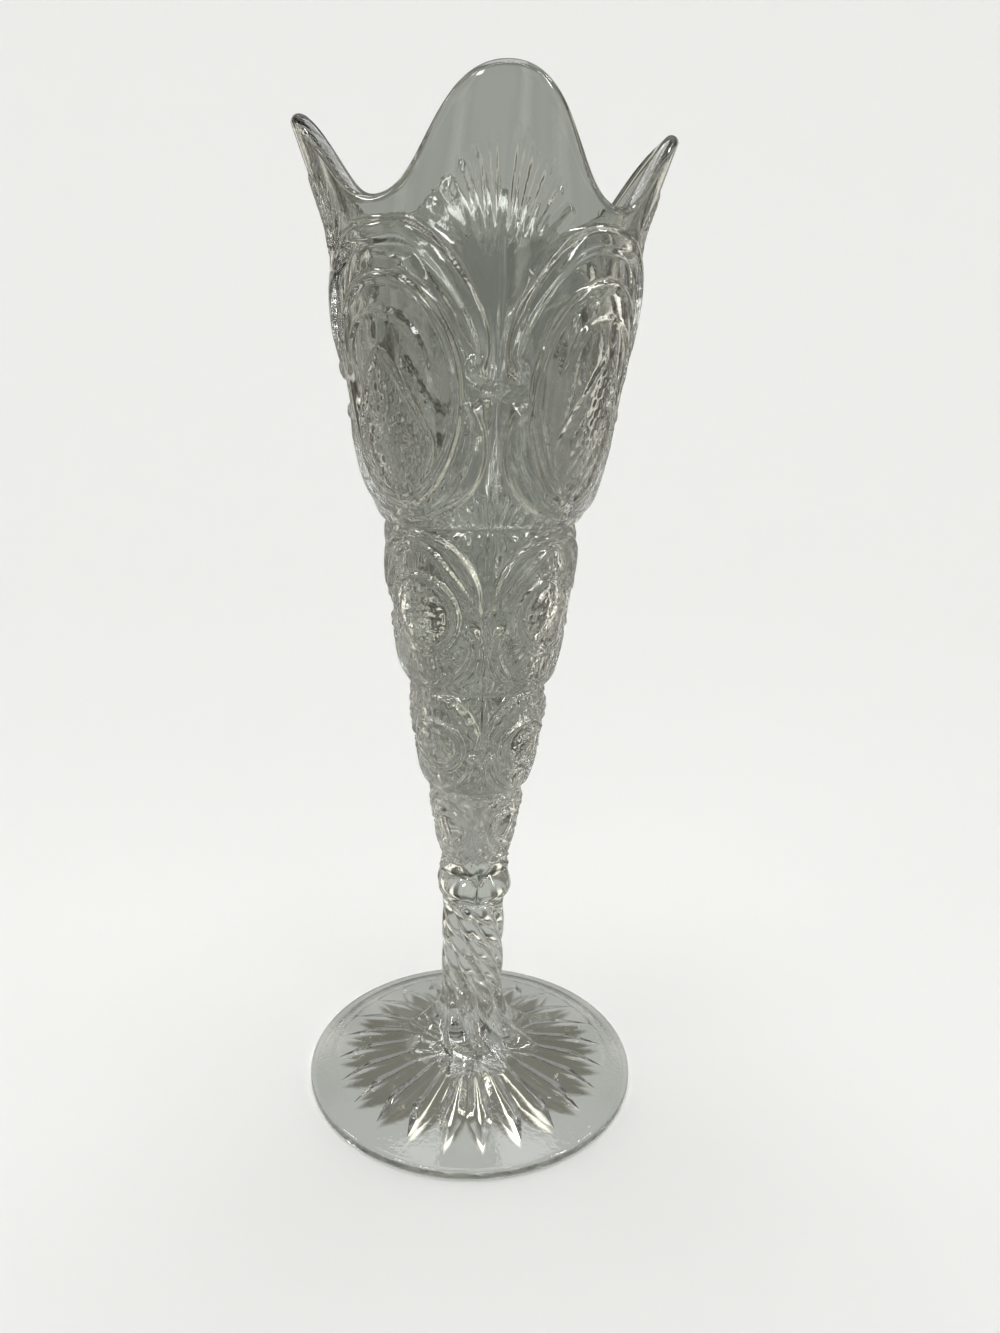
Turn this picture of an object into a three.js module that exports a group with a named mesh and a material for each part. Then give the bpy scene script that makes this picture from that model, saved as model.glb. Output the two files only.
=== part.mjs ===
// A bud vase of pressed clear glass. It stands on a round foot with a star moulded
// underneath, and a twisted stem and a bead carry a slim bowl that widens upwards in
// tiers and opens into four petals. The pattern repeats around the axis: a seam runs up
// through the middle of each petal, and a panel with an oval cartouche lies between
// two seams. Millimetres, +Z up, origin on the floor under the middle of the foot.

import * as THREE from 'three';

// Pattern
const REPEATS = 4;

// Foot
const FOOT_RADIUS = 46.5;
const FOOT_HEIGHT = 15;
const FOOT_EDGE = 3.2;
const FOOT_CREST_RADIUS = 37;
const FOOT_CREST_HEIGHT = 5.8;
const FOOT_SHOULDER_RADIUS = 18.5;
const FOOT_SHOULDER_HEIGHT = 9.6;
const SEAT_MARGIN = 0.6;
const EDGE_ROUND = 0.9;
const RESTING_RING = 4;
const RECESS_CHAMFER = 1.2;
const STAR_RAYS = 24;
const STAR_RADIUS = 38.5;
const STAR_NECK_RADIUS = 29;
const STAR_EYE_RADIUS = 12;
const STAR_DEPTH = 1.6;
const STAR_LAND = 0.06;
const HOLLOW_HEIGHT = 5.6;
const STAR_EDGE_HEIGHT = 2.4;

// Stem
const STEM_LENGTH = 40.5;
const STEM_RADIUS = 8.8;
const STEM_FLUTES = 8;
const FLUTE_DEPTH = 1.5;
const TWIST_LEAD = 95;
const STEM_BASE_RADIUS = 12.4;
const STEM_SPREAD_HEIGHT = 11;
const LEAF_RADIUS = 18.8;
const LEAF_NOTCH = 4.6;
const LEAF_STEP = 1.1;
const LEAF_EDGE = 0.6;

// Bead between the stem and the bowl
const COLLAR_HEIGHT = 8;
const COLLAR_RADIUS = 10.7;
const COLLAR_NECK_RADIUS = 9.2;
const COLLAR_SEAM_DIP = 0.5;

// Bowl: a plain neck and four patterned tiers, each with its radius at the top
const BOWL_BASE_RADIUS = 9.3;
const NECK_HEIGHT = 5;
const NECK_RADIUS = 9.6;
const FIRST_TIER_HEIGHT = 21;
const FIRST_TIER_RADIUS = 13.1;
const SECOND_TIER_HEIGHT = 28.5;
const SECOND_TIER_RADIUS = 18.2;
const THIRD_TIER_HEIGHT = 42;
const THIRD_TIER_RADIUS = 24.4;
const TOP_TIER_HEIGHT = 66;
const TOP_TIER_RADIUS = 36.9;
const WALL = 3.4;
const FLOOR = 13;
const CAVITY_TIP_RADIUS = 4.6;

// Petals of the rim, above the top tier
const DIP_RISE = 5;
const DIP_LEAN = 3.6;
const PETAL_RISE = 25.5;
const PETAL_LEAN = 9;
const PETAL_FULLNESS = 0.4;

// Pattern of one tier, as shares of the tier's height and of half a panel's width
const ARCH_TOP = 0.985;
const ARCH_SPRING = 0.6;
const ARCH_POWER = 0.6;
const CRESCENT_FOOT = 0.03;
const CRESCENT_TIP = 0.4;
const CRESCENT_POWER = 4.5;
const OVAL_CENTRE = 0.46;
const OVAL_HALF_HEIGHT = 0.3;
const OVAL_HALF_WIDTH = 0.6;
const OVAL_SHARPNESS = 4;

// Raised glass of the pattern where the relief is full
const ARCH_DEPTH = 1.5;
const ARCH_HALF_WIDTH = 2;
const CRESCENT_DEPTH = 1.3;
const CRESCENT_HALF_WIDTH = 2.1;
const OVAL_DOME = 1.1;
const OVAL_RIM = 0.8;
const OVAL_RIM_HALF_WIDTH = 2;
const SEAM_MARGIN = 0.14;

// How a tier widens from its bottom to its top, along a seam and up the middle of a panel
const SEAM_GROWTH = [[0, 0], [0.05, 0.14], [0.16, 0.37], [0.3, 0.5], [0.46, 0.54], [0.56, 0.7], [0.66, 0.87], [0.8, 1.01], [1, 1]];
const PANEL_GROWTH = [[0, 0], [0.1, 0.26], [0.3, 0.58], [0.6, 0.86], [0.85, 1], [1, 1]];

// Fineness of the mesh
const FOOT_STEPS = STAR_RAYS * 4;
const STEM_STEPS = STEM_FLUTES * 6;
const STEM_ROWS = 16;
const COLLAR_STEPS = 40;
const COLLAR_ROWS = 6;
const BOWL_STEPS = REPEATS * 20;
const SEAM_CROWDING = 0.35;
const CROWN_ROWS = 6;
const EDGE_ROWS = 4;
const CAVITY_ROWS = 5;

// Each tier with its share of the full relief. Its rows run along the bands: so many
// below the crescent, and so many in the oval between the crescent and the arch.
const TIERS = [
  { height: NECK_HEIGHT, radius: NECK_RADIUS, relief: 0, rowsBelow: 1, rowsBetween: 0 },
  { height: FIRST_TIER_HEIGHT, radius: FIRST_TIER_RADIUS, relief: 0.4, rowsBelow: 1, rowsBetween: 1 },
  { height: SECOND_TIER_HEIGHT, radius: SECOND_TIER_RADIUS, relief: 0.6, rowsBelow: 2, rowsBetween: 2 },
  { height: THIRD_TIER_HEIGHT, radius: THIRD_TIER_RADIUS, relief: 0.8, rowsBelow: 2, rowsBetween: 4 },
  { height: TOP_TIER_HEIGHT, radius: TOP_TIER_RADIUS, relief: 1, rowsBelow: 3, rowsBetween: 5 },
];

function smooth(t) {
  const c = THREE.MathUtils.clamp(t, 0, 1);
  return c * c * (3 - 2 * c);
}

// A rounded swell of the given half width, one at its crest and zero at its edges
function swell(distance, halfWidth) {
  return 0.5 + 0.5 * Math.cos(Math.PI * Math.min(1, Math.abs(distance) / halfWidth));
}

function interpolate(points, x) {
  let i = 1;
  while (i < points.length - 1 && x > points[i][0]) i += 1;
  const [x0, y0] = points[i - 1];
  const [x1, y1] = points[i];
  return y0 + (y1 - y0) * THREE.MathUtils.clamp((x - x0) / (x1 - x0), 0, 1);
}

// A row of a profile that is a plain circle
function circle(radius, height) {
  return () => [radius, height];
}

// Place across the pattern: zero in the middle of a panel, one on the seams beside it
function seamNearness(azimuth) {
  const turns = (azimuth * REPEATS) / (2 * Math.PI);
  return 1 - 2 * Math.abs(turns - Math.round(turns));
}

// Turns a closed profile around Z. Each row of the profile is a function that gives its
// radius, height and twist at an azimuth, so a row can follow a petal, an arch or a flute.
// Azimuth zero faces -Y, up the seam of the front petal, and grows towards +X. Crowding
// draws the columns closer together beside the seams, where the pattern is finest.
function turned(rows, steps, crowding = 0) {
  const profile = rows.map((row) => new THREE.Vector2(row(0)[0], row(0)[1]));
  const geometry = new THREE.LatheGeometry(profile, steps);
  const position = geometry.attributes.position;
  for (let step = 0; step <= steps; step += 1) {
    const even = (2 * Math.PI * (step % steps)) / steps;
    const azimuth = even - (crowding / REPEATS) * Math.sin(even * REPEATS);
    rows.forEach((row, index) => {
      const [radius, height, twist = 0] = row(azimuth);
      const x = radius * Math.sin(azimuth + twist);
      const y = -radius * Math.cos(azimuth + twist);
      position.setXYZ(step * rows.length + index, x, y, height);
    });
  }
  geometry.computeVertexNormals();
  return geometry;
}

function glass(name, colour, roughness) {
  const material = new THREE.MeshStandardMaterial({ color: colour, roughness, metalness: 0 });
  material.name = name;
  material.transparent = true;
  material.opacity = 0.4;
  return material;
}

// Foot: a shallow dome with a seat for the stem, hollow below, where the star is cut. Each
// ray is a groove of two facets that widens outwards to its neck and then tapers to a
// point, so its edge columns are drawn in towards the middle. Pointed leaves lie on the
// dome around the seat, and the foot rests on a flat ring near its edge.
function footGeometry() {
  const ringInner = FOOT_RADIUS - EDGE_ROUND - RESTING_RING;
  const hollowAt = (radius) => {
    const share = (radius - STAR_EYE_RADIUS) / (STAR_RADIUS - STAR_EYE_RADIUS);
    return THREE.MathUtils.lerp(HOLLOW_HEIGHT, STAR_EDGE_HEIGHT, share);
  };
  const ray = (radius, width) => (azimuth) => {
    const turns = (azimuth * STAR_RAYS) / (2 * Math.PI);
    const side = turns - Math.round(turns);
    const inRay = Math.min(1, Math.abs(side) * 4);
    const edge = (0.5 - STAR_LAND) * width;
    const place = inRay < 1 ? inRay * edge : edge + (Math.abs(side) * 4 - 1) * (0.5 - edge);
    const twist = (Math.sign(side) * place - side) * ((2 * Math.PI) / STAR_RAYS);
    const depth = STAR_DEPTH * (radius / STAR_NECK_RADIUS) * width * (1 - inRay);
    return [radius, hollowAt(radius) + depth, twist];
  };
  const domeAt = (radius) => {
    const share = (radius - FOOT_SHOULDER_RADIUS) / (FOOT_CREST_RADIUS - FOOT_SHOULDER_RADIUS);
    return THREE.MathUtils.lerp(FOOT_SHOULDER_HEIGHT, FOOT_CREST_HEIGHT, share);
  };
  const leaf = (inset, step) => (azimuth) => {
    const turns = (azimuth * STEM_FLUTES) / (2 * Math.PI);
    const radius = LEAF_RADIUS - inset - 2 * LEAF_NOTCH * Math.abs(turns - Math.floor(turns) - 0.5);
    return [radius, domeAt(radius) + step];
  };
  return turned([
    circle(0, HOLLOW_HEIGHT),
    circle(STAR_EYE_RADIUS, HOLLOW_HEIGHT),
    ray(STAR_EYE_RADIUS + 2, 1),
    ray(STAR_NECK_RADIUS, 1),
    ray(STAR_RADIUS, 0.02),
    circle(ringInner - RECESS_CHAMFER, RECESS_CHAMFER),
    circle(ringInner, 0),
    circle(FOOT_RADIUS - EDGE_ROUND, 0),
    circle(FOOT_RADIUS, EDGE_ROUND),
    circle(FOOT_RADIUS, FOOT_EDGE - EDGE_ROUND),
    circle(FOOT_RADIUS - EDGE_ROUND, FOOT_EDGE),
    circle(FOOT_CREST_RADIUS, FOOT_CREST_HEIGHT),
    leaf(0, 0),
    leaf(LEAF_EDGE, LEAF_STEP),
    circle(STEM_BASE_RADIUS + SEAT_MARGIN, FOOT_HEIGHT),
    circle(0, FOOT_HEIGHT),
  ], FOOT_STEPS);
}

// Stem: rounded flutes with sharp grooves between them, wound left-handed. It spreads at
// its base, where the flutes end in a scalloped ring on the foot's seat.
function stemGeometry() {
  const flute = (height) => (azimuth) => {
    const spread = 1 - smooth(height / STEM_SPREAD_HEIGHT);
    const crest = STEM_RADIUS + (STEM_BASE_RADIUS - STEM_RADIUS) * spread;
    const groove = FLUTE_DEPTH * (1 - Math.abs(Math.sin((azimuth * STEM_FLUTES) / 2)));
    return [crest - groove, height, (-2 * Math.PI * height) / TWIST_LEAD];
  };
  const rows = [circle(0, 0)];
  for (let i = 0; i <= STEM_ROWS; i += 1) {
    rows.push(flute((STEM_LENGTH * i) / STEM_ROWS));
  }
  rows.push(circle(0, STEM_LENGTH));
  return turned(rows, STEM_STEPS);
}

// Collar: a rounded bead in one lobe a panel, seated on the stem's end under the bowl
function collarGeometry() {
  const rows = [circle(0, 0)];
  for (let i = 0; i <= COLLAR_ROWS; i += 1) {
    const bulge = Math.sin((Math.PI * i) / COLLAR_ROWS);
    rows.push((azimuth) => {
      const crest = COLLAR_RADIUS - COLLAR_SEAM_DIP * seamNearness(azimuth) ** 2;
      return [COLLAR_NECK_RADIUS + (crest - COLLAR_NECK_RADIUS) * bulge, (COLLAR_HEIGHT * i) / COLLAR_ROWS];
    });
  }
  rows.push(circle(0, COLLAR_HEIGHT));
  return turned(rows, COLLAR_STEPS);
}

// The tiers stacked from the bowl's base, each with its own bottom height and radius
const stack = [];
let shoulder = 0;
let shoulderRadius = BOWL_BASE_RADIUS;
for (const tier of TIERS) {
  stack.push({ ...tier, bottom: shoulder, bottomRadius: shoulderRadius });
  shoulder += tier.height;
  shoulderRadius = tier.radius;
}
const topTier = stack[stack.length - 1];

// Height of the rim: full, round petals rise over the seams, with dips between them
function rimHeight(azimuth) {
  const lobe = Math.cos((azimuth * REPEATS) / 2) ** 2;
  const petal = THREE.MathUtils.lerp(lobe, smooth(lobe), PETAL_FULLNESS);
  return shoulder + DIP_RISE + (PETAL_RISE - DIP_RISE) * petal;
}

// How far the wall leans out above the top tier: most along the middle of a petal
function petalLean(azimuth, height) {
  const lobe = Math.cos((azimuth * REPEATS) / 2) ** 2;
  const rise = Math.max(0, height - shoulder) / PETAL_RISE;
  return rise * (DIP_LEAN + (PETAL_LEAN - DIP_LEAN) * lobe);
}

// The arch band's upper edge, high over the panel and low where it meets the seam
function archLine(tier, nearness) {
  const share = ARCH_SPRING + (ARCH_TOP - ARCH_SPRING) * (1 - nearness ** 2) ** ARCH_POWER;
  return tier.bottom + tier.height * share;
}

// The crescent's lower edge, low under the panel and curling up beside the seam
function crescentLine(tier, nearness) {
  const share = CRESCENT_FOOT + (CRESCENT_TIP - CRESCENT_FOOT) * nearness ** CRESCENT_POWER;
  return tier.bottom + tier.height * share;
}

// How much longer a band's width is upwards than square to its line, where the line slopes
function stretch(line, tier, nearness, halfPanel) {
  const low = Math.max(0, nearness - 0.02);
  const high = Math.min(1, nearness + 0.02);
  return Math.hypot(1, (line(tier, high) - line(tier, low)) / ((high - low) * halfPanel));
}

// Distance above such a line, measured square to it
function aboveLine(line, tier, nearness, height, halfPanel) {
  return (height - line(tier, nearness)) / stretch(line, tier, nearness, halfPanel);
}

// Heights of a tier's rows at a place across the pattern, from its bottom up. They follow
// the crescent's edges and crest, then the arch's, and meet in order beside the seam.
function rowHeights(tier, nearness) {
  const top = tier.bottom + tier.height;
  const heights = [];
  if (tier.relief === 0) return [THREE.MathUtils.lerp(tier.bottom, top, 0.5), top];
  const halfPanel = (Math.PI * tier.radius) / REPEATS;
  const middle = tier.bottom + (tier.height * (ARCH_SPRING + CRESCENT_TIP)) / 2;
  const gap = (tier.height * (ARCH_SPRING - CRESCENT_TIP)) / 8;
  const low = crescentLine(tier, nearness);
  const high = archLine(tier, nearness);
  const crescent = CRESCENT_HALF_WIDTH * tier.relief * stretch(crescentLine, tier, nearness, halfPanel);
  const arch = ARCH_HALF_WIDTH * tier.relief * stretch(archLine, tier, nearness, halfPanel);
  const crescentCrest = Math.min(low + crescent, middle - 2 * gap);
  const crescentTop = Math.min(low + 2 * crescent, middle - gap);
  const archFoot = Math.max(high - 2 * arch, middle + gap);
  const archCrest = Math.max(high - arch, middle + 2 * gap);
  for (let i = 1; i <= tier.rowsBelow; i += 1) {
    heights.push(THREE.MathUtils.lerp(tier.bottom, low, i / tier.rowsBelow));
  }
  heights.push(crescentCrest, crescentTop);
  for (let i = 1; i <= tier.rowsBetween; i += 1) {
    heights.push(THREE.MathUtils.lerp(crescentTop, archFoot, i / (tier.rowsBetween + 1)));
  }
  heights.push(archFoot, archCrest, high);
  if (tier !== topTier) heights.push(top);
  return heights;
}

// Raised pattern of one tier: the arch band, the crescent and the oval between them
function relief(tier, nearness, height, radius) {
  const depth = tier.relief;
  if (depth === 0) return 0;
  const halfPanel = (Math.PI * radius) / REPEATS;
  const arch = aboveLine(archLine, tier, nearness, height, halfPanel) + ARCH_HALF_WIDTH * depth;
  const crescent = aboveLine(crescentLine, tier, nearness, height, halfPanel) - CRESCENT_HALF_WIDTH * depth;
  const across = nearness / OVAL_HALF_WIDTH;
  const up = ((height - tier.bottom) / tier.height - OVAL_CENTRE) / OVAL_HALF_HEIGHT;
  const oval = Math.hypot(across, up);
  const outsideOval = (oval - 1) * OVAL_HALF_WIDTH * halfPanel;
  const besideSeam = smooth((1 - nearness) / SEAM_MARGIN);
  return depth * besideSeam * (
    ARCH_DEPTH * swell(arch, ARCH_HALF_WIDTH * depth)
    + CRESCENT_DEPTH * swell(crescent, CRESCENT_HALF_WIDTH * depth)
    + OVAL_DOME * smooth(OVAL_SHARPNESS * (1 - oval))
    + OVAL_RIM * swell(outsideOval, OVAL_RIM_HALF_WIDTH * depth)
  );
}

function outerRadius(azimuth, height) {
  const nearness = seamNearness(azimuth);
  const tier = stack.find((each) => height <= each.bottom + each.height) ?? topTier;
  const rise = (height - tier.bottom) / tier.height;
  const atSeam = interpolate(SEAM_GROWTH, rise);
  const atPanel = interpolate(PANEL_GROWTH, rise);
  const growth = THREE.MathUtils.lerp(atPanel, atSeam, nearness ** 4);
  const plain = tier.bottomRadius + (tier.radius - tier.bottomRadius) * growth;
  return plain + relief(tier, nearness, height, plain) + petalLean(azimuth, height);
}

// Bowl: the patterned outside, the petal rim with its round edge, and the smooth cavity.
// The rows bend with the bands of each tier, and the petals grow out of the top arches.
function bowlGeometry() {
  const outside = (heightAt) => (azimuth) => [outerRadius(azimuth, heightAt(azimuth)), heightAt(azimuth)];
  const edge = WALL / 2;
  const rimFoot = (azimuth) => rimHeight(azimuth) - edge;
  const rows = [circle(0, 0), circle(BOWL_BASE_RADIUS, 0)];
  for (const tier of stack) {
    for (let i = 0; i < rowHeights(tier, 0).length; i += 1) {
      rows.push(outside((azimuth) => rowHeights(tier, seamNearness(azimuth))[i]));
    }
  }
  for (let i = 1; i <= CROWN_ROWS; i += 1) {
    rows.push(outside((azimuth) => {
      const arch = archLine(topTier, seamNearness(azimuth));
      return THREE.MathUtils.lerp(arch, rimFoot(azimuth), i / CROWN_ROWS);
    }));
  }
  for (let i = 1; i <= EDGE_ROWS; i += 1) {
    const turn = (Math.PI * i) / EDGE_ROWS;
    rows.push((azimuth) => {
      const middle = outerRadius(azimuth, rimFoot(azimuth)) - edge;
      return [middle + edge * Math.cos(turn), rimFoot(azimuth) + edge * Math.sin(turn)];
    });
  }
  rows.push((azimuth) => {
    const height = THREE.MathUtils.lerp(rimFoot(azimuth), shoulder, 0.5);
    return [shoulderRadius + petalLean(azimuth, height) - WALL, height];
  });
  const wallPoints = stack.filter((tier) => tier.bottom > FLOOR).map((tier) => [tier.bottomRadius - WALL, tier.bottom]);
  const cavity = new THREE.SplineCurve([
    new THREE.Vector2(CAVITY_TIP_RADIUS, FLOOR + CAVITY_TIP_RADIUS / 2),
    ...wallPoints.map(([radius, height]) => new THREE.Vector2(radius, height)),
    new THREE.Vector2(shoulderRadius - WALL, shoulder),
  ]);
  for (const point of cavity.getPoints(CAVITY_ROWS).reverse()) {
    rows.push(circle(point.x, point.y));
  }
  rows.push(circle(0, FLOOR));
  return turned(rows, BOWL_STEPS, SEAM_CROWDING);
}

const vase = new THREE.Group();
vase.name = 'bud_vase';

const foot = new THREE.Mesh(footGeometry(), glass('foot_glass', 0xb9bdb9, 0.06));
foot.name = 'foot';
vase.add(foot);

const stem = new THREE.Mesh(stemGeometry(), glass('stem_glass', 0xc3c7c2, 0.05));
stem.name = 'stem';
stem.position.z = FOOT_HEIGHT;
vase.add(stem);

const collar = new THREE.Mesh(collarGeometry(), glass('collar_glass', 0xbfc3be, 0.05));
collar.name = 'collar';
collar.position.z = FOOT_HEIGHT + STEM_LENGTH;
vase.add(collar);

const bowl = new THREE.Mesh(bowlGeometry(), glass('bowl_glass', 0xaeb4ae, 0.05));
bowl.name = 'bowl';
bowl.position.z = FOOT_HEIGHT + STEM_LENGTH + COLLAR_HEIGHT;
vase.add(bowl);

export default vase;
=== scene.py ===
# %% [markdown]
# # A pressed bud vase in clear glass
# The real vase is one piece of clear glass, pressed in a mould while it was hot. A round foot
# with a star underneath carries a twisted stem, a bead and a slim bowl that widens in tiers
# and opens into four petals. Light bends at every surface, so the glass has to be one closed
# skin with no walls hidden inside: two solids that only touch would show a mirror between
# them. This lesson turns one profile around the axis and presses the pattern into that skin.

# %% Load the frame
import math

import bmesh
import bpy
import numpy as np
from mathutils import Matrix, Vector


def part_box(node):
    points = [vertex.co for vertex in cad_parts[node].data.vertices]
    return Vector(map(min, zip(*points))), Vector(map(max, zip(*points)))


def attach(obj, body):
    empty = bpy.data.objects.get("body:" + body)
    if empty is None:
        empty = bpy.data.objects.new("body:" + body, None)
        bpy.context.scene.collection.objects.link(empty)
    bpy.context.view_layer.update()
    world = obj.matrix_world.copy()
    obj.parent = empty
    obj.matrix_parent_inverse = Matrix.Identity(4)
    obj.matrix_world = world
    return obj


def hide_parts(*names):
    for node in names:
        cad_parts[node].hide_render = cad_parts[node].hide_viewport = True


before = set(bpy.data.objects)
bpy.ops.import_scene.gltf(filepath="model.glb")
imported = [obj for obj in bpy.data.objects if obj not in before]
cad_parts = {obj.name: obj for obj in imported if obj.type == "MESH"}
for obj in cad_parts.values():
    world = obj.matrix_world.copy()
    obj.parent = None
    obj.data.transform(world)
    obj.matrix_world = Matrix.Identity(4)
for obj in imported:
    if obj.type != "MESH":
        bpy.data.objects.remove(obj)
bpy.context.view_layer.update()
scene = bpy.context.scene
MM = 0.001
print("regions of the vase:", sorted(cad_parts))

# %% [markdown]
# ## The main sizes
# The frame already says where each region of the vase ends, so those heights and radii are
# read from it. Only the shape between them is given here, in millimetres, which are easy to
# check by eye.

# %% Sizes of the vase
FOOT_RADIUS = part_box("foot")[1][0] / MM
tops = [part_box(name)[1][2] / MM for name in ("foot", "stem", "collar", "bowl")]
FOOT_TOP, STEM_TOP, COLLAR_TOP, RIM_TOP = tops
REPEATS, WALL = 4, 3.5
RIM_ROUND = WALL / 2
print("foot radius and tops in mm:", [round(v, 1) for v in (FOOT_RADIUS, *tops)])

# %% [markdown]
# ## The tiers of the bowl
# Four patterned tiers stand on a short neck, each about one and a half times the one below.
# A tier swells quickly at its foot, draws in a little at half height and swells again under
# its arches, so its outline is a table of heights and shares. The table is smoothed, because
# glass shows every kink as a bright line.

# %% Outline of the tiers
TIERS = [
    {"height": 5.0, "radius": 9.6, "depth": 0.0},
    {"height": 21.0, "radius": 13.1, "depth": 0.85},
    {"height": 28.5, "radius": 18.2, "depth": 0.95},
    {"height": 42.0, "radius": 24.4, "depth": 1.0},
    {"height": 66.0, "radius": 36.9, "depth": 1.0},
]
TOP = len(TIERS) - 1
BOWL_BASE_RADIUS = 9.3
SHOULDER = COLLAR_TOP + sum(tier["height"] for tier in TIERS)
TABLE_STEPS, BELL_STEPS, MARGIN, END_EASE = 200, 17, 12, 12
base, radius = COLLAR_TOP, BOWL_BASE_RADIUS
for tier in TIERS:
    tier["base"], tier["base_radius"] = base, radius
    base, radius = base + tier["height"], tier["radius"]


def smooth_table(points):
    """Shares at even steps, through the points and rounded a little except at the ends."""
    x, y = zip(*points)
    steps = np.linspace(0, 1, TABLE_STEPS + 1)
    table = np.interp(steps, x, y)
    padded = np.concatenate([np.full(MARGIN, table[0]), table, np.full(MARGIN, table[-1])])
    bell = np.exp(-np.linspace(-2, 2, BELL_STEPS) ** 2)
    rounded = np.convolve(padded, bell / bell.sum(), mode="same")[MARGIN:-MARGIN]
    from_end = np.minimum(steps, 1 - steps) * END_EASE
    return table + (rounded - table) * np.clip(from_end, 0, 1)


SEAM_TABLE = smooth_table([
    (0, 0), (0.05, 0.14), (0.16, 0.37), (0.3, 0.49), (0.46, 0.53), (0.56, 0.68), (0.66, 0.86),
    (0.8, 1.0), (1, 1),
])
PANEL_TABLE = smooth_table([(0, 0), (0.1, 0.27), (0.3, 0.58), (0.6, 0.85), (0.85, 0.99), (1, 1)])
print("tiers start at", [round(tier["base"], 1) for tier in TIERS])

# %% [markdown]
# ## Where a point sits in the pattern
# The pattern repeats four times. Every petal has a mould seam up its middle, and a panel with
# an oval lies between two seams. One number says how many degrees a point is from its nearest
# seam, up to 45 in the middle of a panel, so one drawing serves all eight half panels.

# %% Degrees from the nearest seam
PANEL = 180.0 / REPEATS


def seam_degrees(azimuth):
    """How far a direction is from its nearest seam."""
    turn = np.degrees(azimuth) / (2 * PANEL)
    return 2 * PANEL * np.abs(turn - np.round(turn))


def smooth(t):
    """Eases from zero to one, level at both ends."""
    t = np.clip(t, 0, 1)
    return t * t * (3 - 2 * t)


def above(value, limit, blend):
    """Zero up to a limit, easing to one beyond it."""
    return smooth((value - limit) / blend)


def below(value, limit, blend):
    """Zero from a limit on, easing to one before it."""
    return smooth((limit - value) / blend)


print("degrees from the seam at 0, 30 and 80:", seam_degrees(np.radians([0, 30, 80])).round())

# %% [markdown]
# ## The petal rim
# The rim rises in a full, round petal over each seam and dips between them. The wall stays
# nearly upright under a dip and leans out along a petal. A squared cosine gives petal and
# dip, and mixing in a smooth step makes the petal fuller. A rim that was melted smooth by
# fire is never quite even, so it also wavers a little.

# %% Rim height and lean
DIP_RISE, PETAL_RISE, PETAL_FULLNESS, WAVER = 5.0, RIM_TOP - SHOULDER, 0.4, 0.35
DIP_LEAN, PETAL_LEAN, LEAN_START = 3.6, 9.0, 8.0
SEAM_SHARPNESS = 4


def petal_lobe(azimuth):
    """One in the middle of a petal, zero in a dip."""
    return np.cos(azimuth * REPEATS / 2) ** 2


def rim_height(azimuth):
    """Height of the rim, with two uneven waves that only ever lower it."""
    lobe = petal_lobe(azimuth)
    petal = lobe + (smooth(lobe) - lobe) * PETAL_FULLNESS
    waver = WAVER * (np.sin(azimuth * 3 + 2.2) + 0.5 * np.sin(azimuth * 11 + 0.6) - 1.5) / 2
    return SHOULDER + DIP_RISE + (PETAL_RISE - DIP_RISE) * petal + waver


def petal_lean(azimuth, height):
    """How far the wall leans out, starting softly just below the shoulder."""
    x = np.clip(height - SHOULDER + LEAN_START / 2, 0, None)
    rise = np.where(x < LEAN_START, x * x / (2 * LEAN_START), x - LEAN_START / 2) / PETAL_RISE
    return rise * (DIP_LEAN + (PETAL_LEAN - DIP_LEAN) * petal_lobe(azimuth))


def plain_radius(azimuth, height):
    """Radius of the outside of the bowl before the pattern is pressed."""
    away = seam_degrees(azimuth) / PANEL
    radius = np.full_like(height, BOWL_BASE_RADIUS)
    steps = np.arange(TABLE_STEPS + 1)
    for tier in TIERS:
        place = np.clip((height - tier["base"]) / tier["height"], 0, 1) * TABLE_STEPS
        seam, panel = np.interp(place, steps, SEAM_TABLE), np.interp(place, steps, PANEL_TABLE)
        growth = panel + (seam - panel) * (1 - away) ** SEAM_SHARPNESS
        here = tier["base_radius"] + (tier["radius"] - tier["base_radius"]) * growth
        radius = np.where(height >= tier["base"], here, radius)
    return radius + petal_lean(azimuth, height)


dip, petal = rim_height(math.radians(PANEL)), rim_height(0.0)
print("rim from", round(float(dip), 1), "to", round(float(petal), 1))

# %% [markdown]
# ## The profile, turned once around
# A turned body is best made as on a lathe: draw half of its section and spin it. The section
# starts on the axis under the foot, runs out to the edge, up the stem and the bowl, over the
# rim and down the inside to the axis again. Each point of it is a row of the mesh. The
# pattern is finest on the wide top tier, so the section is cut into four zones, each with as
# many columns as it needs. Where a later step gives the shape, it only keeps the rows apart.

# %% Heights and radii of the section
STAR_NECK, STAR_RADIUS, HOLLOW_RADIUS = 29.0, 38.5, 12.0
HOLLOW_TOP, NECK_RISE, RING_RISE = 5.6, 3.55, 2.4
REST_INNER, REST_OUTER = 44.6, 45.4
EDGE_REACH, EDGE_ROUND, EDGE_START, EDGE_TOP = 1.1, 1.2, 2.1, 3.3
DOME_END = (20.0, 9.5)
SPREAD_RADIUS, SPREAD_STEP, SPREAD_FOOT, SPREAD_TOP = 19.0, 0.5, 9.8, 27.0
SPREAD_SHARES = (
    0, 0.012, 0.03, 0.07, 0.12, 0.18, 0.25, 0.32, 0.4, 0.48, 0.57, 0.66, 0.75, 0.84, 0.92, 1.0,
)
STEM_RADIUS, COLLAR_RADIUS, RIM_RADIUS = 8.8, 9.0, 46.0
BEND, PETAL_ROOT = 212.0, (43.0, 236.0)
FLOOR = COLLAR_TOP + 13.0
CAVITY_RADIUS, CAVITY_MOUTH, CAVITY_DROP = 9.6, 33.0, 4.0
CAVITY_SHARES = (0.9, 0.75, 0.6, 0.45, 0.32, 0.2, 0.11, 0.05, 0.015, 0.0)
ZONES = {"base": 144, "middle": 240, "crown": 432, "well": 144}
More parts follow.
